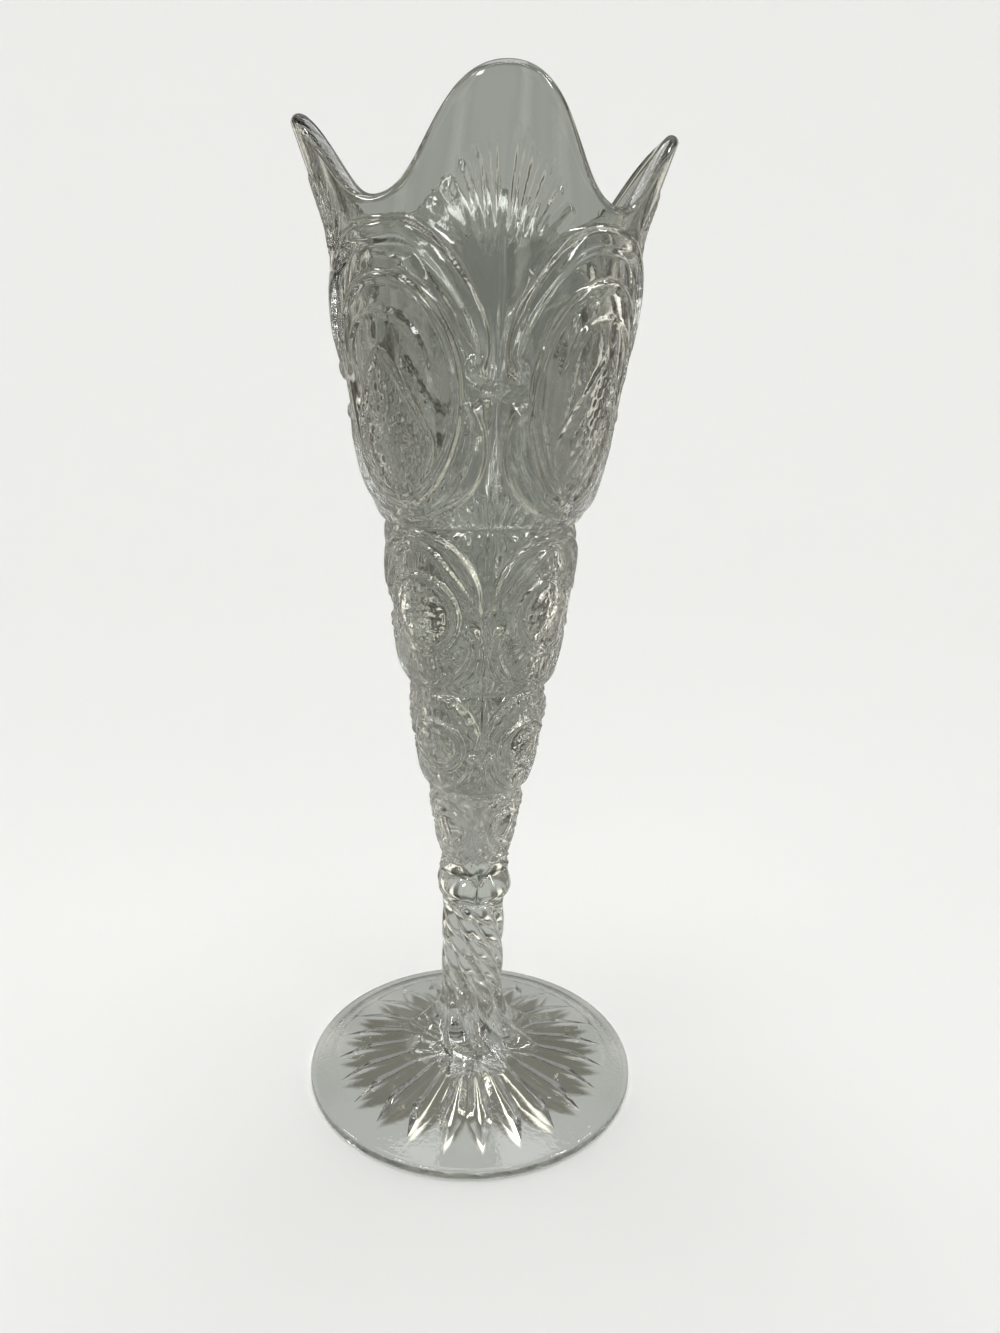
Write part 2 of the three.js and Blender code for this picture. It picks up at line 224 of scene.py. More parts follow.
TIER_ROWS = (("base", 5), ("base", 34), ("middle", 50), ("middle", 72), ("crown", 66))
print("columns of the zones:", ZONES)

# %% Draw the section
rows = []


def add_row(zone, region, r, z, t=0.0):
    """Adds one point, with its share of the region it is in."""
    rows.append((zone, region, r, z, t))


def add_rows(zone, region, start, end, count, first=False):
    """Adds points along a straight stretch."""
    (r0, z0), (r1, z1) = start, end
    for i in range(0 if first else 1, count + 1):
        t = i / count
        add_row(zone, region, r0 + (r1 - r0) * t, z0 + (z1 - z0) * t, t)


for r in (0.0, 4.0, 8.0, HOLLOW_RADIUS):
    add_row("base", "under", r, HOLLOW_TOP)
add_rows("base", "under", (HOLLOW_RADIUS, HOLLOW_TOP), (STAR_NECK, NECK_RISE), 6)
add_rows("base", "under", (STAR_NECK, NECK_RISE), (STAR_RADIUS, RING_RISE), 4)
add_rows("base", "ring", (STAR_RADIUS, RING_RISE), (REST_INNER, 0.0), 4)
add_rows("base", "ring", (REST_INNER, 0.0), (REST_OUTER, 0.0), 1)
quarter_turns = [math.pi / 2 * step / 4 for step in range(5)]
for turn in quarter_turns[1:]:
    r = FOOT_RADIUS - EDGE_REACH + EDGE_REACH * math.sin(turn)
    add_row("base", "ring", r, EDGE_ROUND - EDGE_ROUND * math.cos(turn))
for turn in quarter_turns:
    r = FOOT_RADIUS - EDGE_ROUND + EDGE_ROUND * math.cos(turn)
    add_row("base", "ring", r, EDGE_START + EDGE_ROUND * math.sin(turn))
add_rows("base", "dome", (FOOT_RADIUS - EDGE_ROUND, EDGE_TOP), DOME_END, 11)
for i, t in enumerate(SPREAD_SHARES):
    z = SPREAD_FOOT + (SPREAD_TOP - SPREAD_FOOT) * i / (len(SPREAD_SHARES) - 1)
    add_row("base", "spread", SPREAD_RADIUS - SPREAD_STEP * i, z, t)
add_rows("base", "stem", (STEM_RADIUS, SPREAD_TOP), (STEM_RADIUS, STEM_TOP), 18)
add_rows("base", "collar", (COLLAR_RADIUS, STEM_TOP), (COLLAR_RADIUS, COLLAR_TOP), 12, first=True)
for tier, (zone, count) in zip(TIERS, TIER_ROWS):
    head = min(tier["base"] + tier["height"], BEND)
    add_rows(zone, "bowl", (tier["base_radius"], tier["base"]), (tier["radius"], head), count)
flat_rim = RIM_TOP - RIM_ROUND
add_rows("crown", "bowl", (TIERS[TOP]["radius"], BEND), PETAL_ROOT, 21)
add_rows("crown", "bowl", PETAL_ROOT, (RIM_RADIUS, flat_rim), 8)
for turn in [math.pi * step / 8 for step in range(1, 8)]:
    r = RIM_RADIUS - RIM_ROUND + RIM_ROUND * math.cos(turn)
    add_row("crown", "rim", r, flat_rim + RIM_ROUND * math.sin(turn))
inside_foot = (TIERS[TOP]["radius"] - WALL, SHOULDER)
add_rows("crown", "inside", (RIM_RADIUS - WALL, flat_rim), inside_foot, 5, first=True)
mouth, well_foot = (CAVITY_MOUTH, SHOULDER - CAVITY_DROP), (CAVITY_RADIUS, TIERS[2]["base"])
add_rows("well", "cavity", mouth, well_foot, 12, first=True)
for t in CAVITY_SHARES:
    z = FLOOR + (TIERS[2]["base"] - FLOOR) * t
    add_row("well", "cavity", CAVITY_RADIUS * math.sqrt(t), z)
for zone in ZONES:
    print(f"zone {zone}: {sum(row[0] == zone for row in rows)} rows")

# %% [markdown]
# ## Spin the zones and join them
# A spin of hundreds of steps is slow, because every step goes through all that was made
# before it. So only a quarter turn is spun, and three turned copies of it close the circle.
# The bridge operator joins the zones, although their numbers of columns differ. With the
# poles merged, the whole skin is one closed body.

# %% Spin a quarter, copy it round and bridge the zones
QUARTER, WELD, SAME_PLACE = math.pi / 2, 1e-6, 1e-5


def spin(body, outline, angle, steps, use_merge):
    """Spins a line of points about the upright axis and returns its two ends."""
    chain = [body.verts.new((r, 0, z)) for r, z in outline]
    lines = [body.edges.new(pair) for pair in zip(chain, chain[1:])]
    ends = [chain[0].co.copy(), chain[-1].co.copy()]
    bmesh.ops.spin(
        body, geom=chain + lines, cent=(0, 0, 0), axis=(0, 0, 1), angle=angle, steps=steps,
        use_merge=use_merge, use_duplicate=False,
    )
    return ends


bm = bmesh.new()
ends = []
for zone, columns in ZONES.items():
    part = bmesh.new()
    section = [(r * MM, z * MM) for name, _, r, z, _ in rows if name == zone]
    ends += spin(part, section, QUARTER, columns // 4, use_merge=False)
    quarter = part.verts[:] + part.edges[:] + part.faces[:]
    for turn in (1, 2, 3):
        copied = bmesh.ops.duplicate(part, geom=quarter)["geom"]
        corners = [item for item in copied if isinstance(item, bmesh.types.BMVert)]
        onward = Matrix.Rotation(turn * QUARTER, 3, "Z")
        bmesh.ops.rotate(part, cent=(0, 0, 0), matrix=onward, verts=corners)
    bmesh.ops.remove_doubles(part, verts=part.verts[:], dist=WELD)
    shell = bpy.data.meshes.new("zone")
    part.to_mesh(shell)
    part.free()
    bm.from_mesh(shell)
    bpy.data.meshes.remove(shell)


def ring_at(end):
    """The open edge loop that passes through the end of a zone's section."""
    def on_it(corner):
        level = abs(corner.co.z - end.z) < SAME_PLACE
        return level and abs(corner.co.xy.length - end.x) < SAME_PLACE
    return [line for line in bm.edges if line.is_boundary and all(map(on_it, line.verts))]


for lower, upper in ((1, 2), (3, 4), (5, 6)):
    loops = ring_at(ends[lower]) + ring_at(ends[upper])
    filled = bmesh.ops.bridge_loops(bm, edges=loops)
    print("bridged", len(loops), "edges with", len(filled["faces"]), "faces")
bmesh.ops.recalc_face_normals(bm, faces=bm.faces[:])
print("open edges:", sum(len(line.link_faces) != 2 for line in bm.edges))
mesh = bpy.data.meshes.new("vase_glass")
bm.to_mesh(mesh)
bm.free()
print("triangles:", sum(len(face.vertices) - 2 for face in mesh.polygons))

# %% [markdown]
# ## Which row a point belongs to
# After the spin each point still stands at the radius and height of its row, so its row is
# the nearest one. From here on the skin is shaped as a sculptor would: points only move, and
# no face is added. The mesh lines turn with the flutes of the stem, so that they run along
# the grooves and keep them crisp. In the bowl the columns are drawn closer together beside
# the seams, where the bands of the pattern are slim.

# %% Sort the points into regions
points = np.empty(len(mesh.vertices) * 3)
mesh.vertices.foreach_get("co", points)
points = points.reshape(-1, 3) / MM
azimuth = np.arctan2(points[:, 0], -points[:, 1])
radius, height = np.hypot(points[:, 0], points[:, 1]), points[:, 2].copy()
row_place = np.array([(r, z) for _, _, r, z, _ in rows])
places = np.round(np.column_stack([radius, height]), 3)
spots, spot_of = np.unique(places, axis=0, return_inverse=True)
nearest = np.array([np.argmin(((row_place - spot) ** 2).sum(axis=1)) for spot in spots])
row_of = nearest[spot_of.ravel()]
region = np.array([row[1] for row in rows])[row_of]
share = np.array([row[4] for row in rows])[row_of]
print({name: int((region == name).sum()) for name in dict.fromkeys(row[1] for row in rows)})

# %% Wind the mesh with the stem and crowd it beside the seams
TWIST_LEAD, SEAM_CROWDING, CROWDING_RISE = 95.0, 0.35, 30
stem_twist = -2 * np.pi * (STEM_TOP - FOOT_TOP) / TWIST_LEAD
columns = ZONES["base"]
whole_twist = 2 * np.pi * round(float(stem_twist / (2 * np.pi) * columns)) / columns
twist = stem_twist * np.clip((height - FOOT_TOP) / (STEM_TOP - FOOT_TOP), 0, 1)
collar = region == "collar"
twist[collar] = stem_twist + (whole_twist - stem_twist) * share[collar]
in_bowl = np.isin(region, ("bowl", "rim", "inside", "cavity"))
twist[in_bowl] = whole_twist
twist[np.isin(region, ("under", "ring", "dome"))] = 0
facing = azimuth + twist
crowding = SEAM_CROWDING * smooth((height - COLLAR_TOP) / CROWDING_RISE) * in_bowl
facing -= crowding / REPEATS * np.sin(facing * REPEATS)
print("the mesh turns by", round(math.degrees(whole_twist)), "degrees")

# %% [markdown]
# ## The wall and the cavity
# The rows near the top are bent to follow the petals, outside, over the edge and inside
# alike, so the rim keeps its round edge. Lower down the plunger left the inside as a smooth
# cone. The outside is set back a little before the pattern is pressed, so that the crests end
# where the CAD solid does.

# %% Shape the bowl's wall
SET_BACK = (
    (COLLAR_TOP, 0.4), (66, 1.3), (72, 1.6), (80, 1.3), (89, 0.9), (90, 0.7), (117, 0.6),
    (119, 0.35), (159, 0.3), (161, 0.0),
)
PLUNGER_BEND, PLUNGER_RADIUS, MOUTH_EASE = 14, 31.2, 0.17
rim = rim_height(facing)
bent = (region == "bowl") & (height > BEND)
head = rim[bent] - RIM_ROUND - BEND
height[bent] = BEND + (height[bent] - BEND) * head / (flat_rim - BEND)
outer = region == "bowl"
radius[outer] = plain_radius(facing[outer], height[outer])
radius[outer] -= np.interp(height[outer], *zip(*SET_BACK))

edge = region == "rim"
height[edge] += rim[edge] - RIM_TOP
radius[edge] += plain_radius(facing, rim - RIM_ROUND)[edge] - RIM_RADIUS

inside = region == "inside"
high = rim[inside] - RIM_ROUND
height[inside] = SHOULDER + (height[inside] - SHOULDER) * (high - SHOULDER) / (flat_rim - SHOULDER)
radius[inside] = TIERS[TOP]["radius"] - WALL + petal_lean(facing[inside], height[inside])

plunger = [(tier["base"], tier["base_radius"] - WALL) for tier in TIERS[2:]]
plunger += [(SHOULDER - PLUNGER_BEND, PLUNGER_RADIUS)]
plunger += [(SHOULDER, TIERS[TOP]["radius"] - WALL + MOUTH_EASE)]
wall = (region == "cavity") & (height > TIERS[2]["base"] - 0.01)
radius[wall] = np.interp(height[wall], *zip(*plunger))
print("narrowest cavity", round(float(radius[wall].min()), 1), "mm")

# %% [markdown]
# ## Drawing with bands and rays
# Arches that curl into a tail beside the seam and crescents that hug the ovals from below are
# raised bands. Each is a short path with a half width at every point, in degrees from the
# seam and shares of the tier's height. The distance from that path, divided by the half
# width, is 0 on the crest and 1 at the foot, and a profile is drawn over it: round, level or
# with raised lips. Steep edges sparkle, because each bends the light like a small lens.

# %% Helpers for raised bands
DEGREE = np.radians(1)
FAR = 1e3


def curve(path, count=28):
    """More points along a path, on a smooth line through the given ones."""
    path = np.array(path, dtype=float)
    ends = np.vstack([2 * path[0] - path[1], path, 2 * path[-1] - path[-2]])
    out = []
    for i in range(1, len(ends) - 2):
        p0, p1, p2, p3 = ends[i - 1:i + 3]
        for t in np.linspace(0, 1, max(2, count // (len(path) - 1)), endpoint=False):
            bend = (2 * p0 - 5 * p1 + 4 * p2 - p3) * t ** 2
            sway = (3 * p1 - p0 - 3 * p2 + p3) * t ** 3
            out.append(0.5 * (2 * p1 + (p2 - p0) * t + bend + sway))
    out.append(path[-1])
    return np.array(out)


def band(across, up, path, scale):
    """How far off a band's crest each point is, in half widths, and the half width there."""
    best = np.full(len(across), FAR)
    width = np.ones(len(across))
    for a, b in zip(path, path[1:]):
        ax, ay, bx, by = a[0] * scale, a[1], b[0] * scale, b[1]
        dx, dy = bx - ax, by - ay
        t = np.clip(((across - ax) * dx + (up - ay) * dy) / (dx * dx + dy * dy + 1e-9), 0, 1)
        half = a[2] + (b[2] - a[2]) * t
        away = np.hypot(across - ax - dx * t, up - ay - dy * t) / half
        width = np.where(away < best, half, width)
        best = np.minimum(best, away)
    return best, width


def round_top(ratio, power=0.7):
    """One on the crest, zero at the foot, steep at the sides like a half round bar."""
    return np.clip(1 - ratio ** 2, 0, 1) ** power


def flat_top(ratio, steepness=2.1):
    """A level band with steep, rounded edges."""
    return smooth((1 - ratio) * steepness)


def lipped(ratio, trough=0.45, lip_at=0.62, lip_half=0.38):
    """A broad band with a raised lip along both edges and a shallow trough between them."""
    lip = round_top(np.abs(ratio - lip_at) / lip_half)
    return np.maximum(lip, trough * round_top(ratio, 0.5))


def thin_line(distance, half, height):
    """A slim raised line where the distance is zero."""
    return height * round_top(np.abs(distance) / half)


def fan(across, up, count):
    """Rays that spread from a point: one on a ray and zero between two."""
    return 0.5 + 0.5 * np.cos(np.arctan2(across, up) * count)


def bumps(across, up, pitch, size, row_height=0.866, bump_radius=0.52):
    """A close bed of small round bumps, in rows that are offset by half a bump."""
    best = np.full(len(across), FAR)
    for shift in (0.0, 0.5):
        y = up / (2 * row_height * pitch) - shift
        x = across / pitch - shift
        best = np.minimum(best, np.hypot(x - np.round(x), (y - np.round(y)) * 2 * row_height))
    return size * np.sqrt(np.clip(1 - (best / bump_radius) ** 2, 0, 1))


half = np.array([0.5])
print("half way off the crest:", [f(half)[0].round(2) for f in (round_top, flat_top, lipped)])

# %% [markdown]
# ## The motifs
# The same motifs return in every tier, drawn smaller each time: the arch band with its curled
# tail, the crescent, the oval with its bed of small round bumps, and ribs that fan out from
# the oval like the rays of a shell. The arch is a ribbed rope in the two lower tiers, a band
# with raised lips in the third, and level in the top one. One table holds all the heights.

# %% Motifs, as degrees from the seam, share of the tier's height, half width in millimetres
TOP_ARCH = [
    (45, 0.955, 2.7), (34, 0.95, 2.7), (25.5, 0.912, 2.6), (18.8, 0.85, 2.5), (13, 0.775, 2.3),
    (8.6, 0.70, 2.1), (6.0, 0.63, 1.8), (5.6, 0.565, 1.3), (8.4, 0.51, 0.35),
]
LIPPED_ARCH = [
    (45, 0.925, 1.5), (38, 0.92, 1.8), (30, 0.89, 2.7), (22.5, 0.825, 3.4), (15.5, 0.74, 3.2),
    (10, 0.65, 2.3), (6.5, 0.56, 0.5),
]
ROPE_ARCH = [
    (45, 0.94, 2.4), (33, 0.925, 2.4), (24, 0.875, 2.3), (16.5, 0.80, 2.2), (11, 0.715, 2.0),
    (7.5, 0.63, 1.7), (6.5, 0.55, 1.1), (9, 0.50, 0.4),
]
ARCHES = {1: ROPE_ARCH, 2: ROPE_ARCH, 3: LIPPED_ARCH, 4: TOP_ARCH}
CRESCENT = [
    (45, 0.035, 1.3), (33, 0.05, 1.5), (23, 0.085, 1.9), (15.5, 0.13, 2.3), (10.2, 0.185, 2.4),
    (7.2, 0.255, 2.2), (6.8, 0.33, 1.7), (8.3, 0.385, 1.0), (11.8, 0.43, 0.25),
]
TOP_OVAL = {"centre": 0.46, "up": 0.355, "across": 30.0, "rim": 0.8}
LOW_OVAL = {"centre": 0.49, "up": 0.225, "across": 25.5, "rim": 1.1}
BUMP_FIELD = [
    (45, 0.58), (41, 0.54), (36, 0.46), (31, 0.38), (27.5, 0.31), (28.5, 0.24), (34, 0.17),
    (45, 0.13),
]
LEAF_EDGE = [
    (45, 0.715, 0.5), (38, 0.70, 0.5), (32, 0.665, 0.5), (28, 0.61, 0.45), (25.5, 0.54, 0.3),
]
TAIL_ENDS = [(7.6, 0.535), (9.6, 0.405)]
RIBS = {1: 20, 2: 26, 3: 40, 4: 52}
FULL_WIDTH, ROPE_CUT, TOP_KNOB, LOW_KNOB = 1.9, 0.28, 0.036, 0.045
FOOT_FAN, FOOT_ROOT, HEAD_FAN, HEAD_ROOT = 34, 0.12, 16, 1.08
RELIEF = {
    "arch": 1.35, "crescent": 1.25, "ribs": 0.34, "foot_fan": 0.3, "head_fan": 0.26, "tail": 0.8,
    "seam_star": 0.7, "top_dome": 1.5, "leaf_edge": 0.5, "bed_rim": 0.5, "top_bumps": 0.42,
    "cleft": 0.5, "second_rim": 0.4, "low_dome": 0.9, "low_bumps": 0.36, "petal_rays": 0.62,
    "neck_leaf": 1.1, "tier_groove": 0.45,
}
print("highest motif:", max(RELIEF, key=RELIEF.get), "with", max(RELIEF.values()), "mm")

# %% [markdown]
# ## The ovals
# The top tier is the largest and has smooth leaves in the upper half of its oval, so it gets a
# drawing of its own. The smaller ovals have a second rim and a plain bed of bumps.

# %% Draw the ovals
TOP_BUMP_RADIUS, TOP_BUMP_PITCH, LOW_BUMP_PITCH = 31.0, 2.6, 2.0
BED_SHARE, RIM_SHARE = 0.8, 0.86


def oval_share(degrees, up_share, oval):
    """Zero in the middle of an oval and one on its edge."""
    across = (PANEL - degrees) / oval["across"]
    return np.hypot(across, (up_share - oval["centre"]) / oval["up"])


def top_oval(degrees, u, z, e, per_degree):
    """A dome with smooth leaves above and a bed of bumps below them."""
    bed = curve(BUMP_FIELD, 24)
    to_bed = (np.interp(u, bed[::-1, 1], bed[::-1, 0], left=50, right=50) - degrees) * per_degree
    inner = smooth((0.97 - e) * 9)
    field = smooth(0.5 - to_bed) * inner
    edge_path = curve(LEAF_EDGE, 16) * (1, TIERS[TOP]["height"], 1)
    leaf, _ = band(degrees * per_degree, z, edge_path, per_degree)
    cleft = np.exp(-((PANEL - degrees) * per_degree) ** 2)
    cleft = cleft * above(u, 0.6, 0.06) * below(u, 0.71, 0.03)
    from_middle = (PANEL - degrees) * DEGREE * TOP_BUMP_RADIUS
    relief = RELIEF["top_dome"] * np.sqrt(np.clip(1 - e ** 2, 0, 1)) * (1 - 0.35 * field)
    relief += RELIEF["leaf_edge"] * round_top(leaf)
    relief += inner * thin_line(to_bed - 0.4, 0.75, RELIEF["bed_rim"])
    relief += field * bumps(from_middle, z, TOP_BUMP_PITCH, RELIEF["top_bumps"])
    return relief - RELIEF["cleft"] * cleft


def low_oval(degrees, z, e, tier, per_degree):
    """A second rim, a low dome and, where there is room for it, a bed of fine bumps."""
    depth = tier["depth"]
    second = (e - RIM_SHARE) * LOW_OVAL["across"] * per_degree
    relief = thin_line(second, 0.75 * depth, RELIEF["second_rim"] * depth)
    if tier is not TIERS[1]:
        from_middle = (PANEL - degrees) * DEGREE * tier["radius"] * 0.88
        bed = bumps(from_middle, z, LOW_BUMP_PITCH, RELIEF["low_bumps"] * depth)
        relief += smooth((BED_SHARE - e) * 12) * bed
    return relief + RELIEF["low_dome"] * depth * np.sqrt(np.clip(1 - (e / BED_SHARE) ** 2, 0, 1))


print("half widths of the ovals:", TOP_OVAL["across"], LOW_OVAL["across"], "degrees")

# %% [markdown]
# ## The pattern of one tier
# A tier adds up its motifs. Ribs and rays only fill the ground between the bands, so they
# fade out before they reach an arch, a crescent or an oval.

# %% Draw one tier
def band_height(full, width, depth):
    """A band is highest where it is broad and fades as it narrows to its tail."""
    return full * depth * np.sqrt(np.clip(width / (FULL_WIDTH * depth), 0, 1))


def arch_profile(index, arch, ribs):
    """A ribbed rope in the two lower tiers, lips in the third, level in the top one."""
    if index < 3:
        return round_top(arch) * (1 - ROPE_CUT + ROPE_CUT * ribs)
    return flat_top(arch) if index == TOP else lipped(arch)


def tails(across, z, tier, per_degree, top):
    """Two round knobs, where the arch and the crescent curl in beside the seam."""
    tall = tier["height"]
    knobs = [np.hypot(across - at * per_degree, z - up * tall) for at, up in TAIL_ENDS]
    size = TOP_KNOB * tall if top else LOW_KNOB * tall * tier["depth"]
    return round_top(np.minimum(*knobs) / size, 0.6)


def seam_star(across, z, tier, top):
    """A small four-pointed star on the seam, between the tails."""
    wide, high = (7.0, 3.4) if top else (2.6 * tier["depth"], 3.0 * tier["depth"])
    middle = (0.475 if top else 0.507) * tier["height"]
    star = np.sqrt(across / wide) + np.sqrt(np.abs(z - middle) / high)
    return smooth((1 - star) * 2.5)


def tier_pattern(index, degrees, z, r):
    """Relief of one tier, at heights z above its foot where the wall has radius r."""
    tier = TIERS[index]
    tall, depth, top = tier["height"], tier["depth"], index == TOP
    u, per_degree = z / tall, DEGREE * r
    across = degrees * per_degree
    oval = TOP_OVAL if top else LOW_OVAL
    arch, arch_width = band(across, z, curve(ARCHES[index]) * (1, tall, depth), per_degree)
    moon, moon_width = band(across, z, curve(CRESCENT) * (1, tall, depth), per_degree)
    off_arch, off_moon = above(arch, 1, 0.5), above(moon, 1, 0.5)
    e = oval_share(degrees, u, oval)
    to_oval = (e - 1) * oval["across"] * per_degree
    ribs = fan((u - oval["centre"]) * tall, (PANEL - degrees) * per_degree, RIBS[index])

    relief = band_height(RELIEF["arch"], arch_width, depth) * arch_profile(index, arch, ribs)
    moon_height = band_height(RELIEF["crescent"], moon_width, depth)
    relief += moon_height * (flat_top(moon) if top else lipped(moon, 0.5))
    relief += thin_line(to_oval - 0.3 * depth, 0.95 * depth, oval["rim"] * depth)
    if top:
        relief += top_oval(degrees, u, z, e, per_degree)
    else:
        relief += low_oval(degrees, z, e, tier, per_degree)

    between = off_arch * off_moon * above(to_oval, 1.2 * depth, 0.5)
    between = between * (below(u, 0.16, 0.06) if top else 1) * above(degrees, 9, 4)
    relief += RELIEF["ribs"] * depth * between * ribs * below(u, 0.985, 0.04)
    at_foot = below(u, 0.14, 0.05) * off_moon * below(degrees, 17, 4)
    relief += RELIEF["foot_fan"] * depth * at_foot * fan(across, z + FOOT_ROOT * tall, FOOT_FAN)
    if not top:
        at_head = above(u, 0.86, 0.06) * off_arch * below(degrees, 20, 5)
        rays = fan(across, HEAD_ROOT * tall - z, HEAD_FAN)
        relief += RELIEF["head_fan"] * depth * at_head * rays
    relief += RELIEF["tail"] * depth * tails(across, z, tier, per_degree, top)
    star = RELIEF["seam_star"] * depth * seam_star(across, z, tier, top)
    return relief + star * off_arch * off_moon


print("tiers with a pattern:", sum(tier["depth"] > 0 for tier in TIERS))

# %% [markdown]
# ## Press the whole bowl
# The four tiers are pressed one after another. Short rays follow at the roots of the petals,
# then a pointed leaf on the neck and a groove between one tier and the next.

# %% Press the pattern
PETAL_RAYS = [
    (1.8, 222.5, 3.9, 237.0), (4.6, 222.0, 8.4, 235.0), (7.4, 222.5, 12.8, 233.0),
    (10.8, 222.5, 17.4, 230.0), (15.0, 221.5, 22.5, 227.0),
]
RAY_START, RAY_END, RAYS_FROM = 0.2, 1.05, 8
NECK_LEAF = [(0, 1.4, 0.9), (15, 2.9, 1.2), (30, 5.2, 1.2), (45, 6.6, 0.9)]
OVERLAP, NECK_OVERLAP, GROOVE_HALF = 6, 2.5, 0.7


def pattern(azimuth, height, radius):
    """Relief of the whole bowl in millimetres."""
    degrees = seam_degrees(azimuth)
    total = np.zeros(len(height))

    def lines(here, base, paths):
        """Raised lines along some paths, where the mask is true."""
        scale = DEGREE * radius[here]
        across, up = degrees[here] * scale, height[here] - base
        return round_top(np.min([band(across, up, path, scale)[0] for path in paths], axis=0))

    for index, tier in enumerate(TIERS):
        head = tier["base"] + tier["height"] + (OVERLAP if index == TOP else 0)
        here = (height >= tier["base"]) & (height < head)
        if tier["depth"] and here.any():
            z = height[here] - tier["base"]
            total[here] += tier_pattern(index, degrees[here], z, radius[here])
    crown = height > SHOULDER - RAYS_FROM
    rays = [[(d0, z0, RAY_START), (d1, z1, RAY_END)] for d0, z0, d1, z1 in PETAL_RAYS]
    total[crown] += RELIEF["petal_rays"] * lines(crown, 0, rays)
    neck = height < TIERS[1]["base"] + NECK_OVERLAP
    total[neck] += RELIEF["neck_leaf"] * lines(neck, COLLAR_TOP, [NECK_LEAF])
    for tier in TIERS[2:]:
        total -= RELIEF["tier_groove"] * np.exp(-((height - tier["base"]) / GROOVE_HALF) ** 2)
    return total


pressed = pattern(facing[outer], height[outer], radius[outer])
radius[outer] += pressed
print("highest relief", round(float(pressed.max()), 2), "mm")

# %% [markdown]
# ## The bead, the twisted stem and its spread
# Below the bowl a rounded bead swells between the seams. The stem has eight round flutes with
# sharp grooves, wound left-handed. Where it meets the foot the flutes open out and end in
# eight pointed petals that lie on the dome, each with a small step down to it.

# %% Shape the bead, the stem and the spread
FLUTES, FLUTE_DEPTH, GROOVE_POWER, FLUTE_FADE = 8, 1.5, 1.3, 3.5
DOME_EDGE, DOME_RISE, DOME_POWER = 3.0, 10.75, 0.921
SPREAD_REACH, SPREAD_NOTCH, SPREAD_CURVE, SPREAD_BEND = 19.3, 6.2, 2.1, 1.15
NOTCH_STEP, PETAL_STEP = 0.35, 0.65
BEAD_RADIUS, BEAD_SEAM, BEAD_TUCK, BEAD_POWER = 10.7, 1.3, 0.6, 0.8


def dome_height(r):
    """Height of the foot's dome."""
    return DOME_EDGE + DOME_RISE * np.clip(1 - r / FOOT_RADIUS, 0, 1) ** DOME_POWER


groove = 1 - np.abs(np.sin(azimuth * FLUTES / 2))
in_petal = 1 - 2 * np.abs((azimuth * FLUTES / (2 * np.pi)) % 1 - 0.5)
fluted = STEM_RADIUS - FLUTE_DEPTH * groove ** GROOVE_POWER * below(height, STEM_TOP, FLUTE_FADE)

stem = region == "stem"
radius[stem] = fluted[stem]

spread = region == "spread"
t = share[spread]
outline = SPREAD_REACH - SPREAD_NOTCH * (1 - in_petal[spread]) ** 0.9
radius[spread] = fluted[spread] + (outline - fluted[spread]) * (1 - t) ** SPREAD_CURVE
step_up = np.where(t > 0, NOTCH_STEP + PETAL_STEP * np.sqrt(in_petal[spread]), 0)
start_height = dome_height(outline) + step_up
height[spread] = start_height + (SPREAD_TOP - start_height) * t ** SPREAD_BEND

t = share[collar]
crest = BEAD_RADIUS - BEAD_SEAM * (1 - seam_degrees(facing[collar]) / PANEL) ** SEAM_SHARPNESS
ends = STEM_RADIUS - BEAD_TUCK + (BOWL_BASE_RADIUS - STEM_RADIUS + BEAD_TUCK) * t
radius[collar] = ends + (crest - ends) * np.sin(np.pi * t) ** BEAD_POWER
print("slimmest stem", round(float(radius[stem].min()), 2), "mm")

# %% [markdown]
# ## The foot and its star
# The foot is a shallow dome, hollow underneath. A star of rays is cut up into the hollow: each
# ray is a groove of two flat facets that widens outwards to its neck and then tapers to a
# point. Seen through the dome, the facets flash light and dark, so they must be really flat.
# A ray has six columns of the mesh, drawn in towards its middle where it tapers, so that its
# edges are straight.

# %% Shape the foot
RAYS, RAY_STEEPNESS, RAY_LAND, RAY_TIP = 24, 0.64, 0.03, 0.004
dome = region == "dome"
height[dome] = dome_height(radius[dome])

under = region == "under"
r = radius[under]
ray = azimuth[under] * RAYS / (2 * np.pi)
side = ray - np.round(ray)
taper = np.clip((STAR_RADIUS - r) / (STAR_RADIUS - STAR_NECK), 0, 1)
half_ray = np.maximum((0.5 - RAY_LAND) * taper, RAY_TIP)
column = np.abs(side) * 3
on_land = half_ray + (np.abs(side) * 6 - 2) * (0.5 - half_ray)
place = np.where(column < 1.01, column * half_ray, on_land)
facing[under] = (np.round(ray) + np.sign(side) * place) * (2 * np.pi / RAYS)
cut = RAY_STEEPNESS * np.clip(half_ray - place, 0, None) * (2 * np.pi * r / RAYS)
height[under] += np.where(r >= HOLLOW_RADIUS - 0.01, cut, 0)
print("star grooves up to", round(float(cut.max()), 2), "mm deep")

# %% [markdown]
# ## The mould seams
# Where the parts of the mould met, a fine line of glass stands up on the outside. It runs from
# the petal tips down the bowl, over the bead and along the stem. After that the skin is
# shaded smooth, apart from the facets of the star, whose edges stay sharp.

# %% Raise the seams and move the points
SEAM_RISE, SEAM_HALF = 0.22, 0.45
seam_away = np.radians(seam_degrees(facing)) * radius
seamed = np.isin(region, ("bowl", "collar")) | (stem & (np.cos(facing * 2) > 0))
at_shoulder = smooth((height - SHOULDER + 6) / 10)
seam_rise = SEAM_RISE - 0.12 * above(height, 150, 20) - 0.09 * at_shoulder
radius[seamed] += (seam_rise * np.exp(-(seam_away / SEAM_HALF) ** 2))[seamed]
points = np.column_stack([radius * np.sin(facing), -radius * np.cos(facing), height])
mesh.vertices.foreach_set("co", (points * MM).ravel())
mesh.update()
print("seams stand up by", SEAM_RISE, "mm")

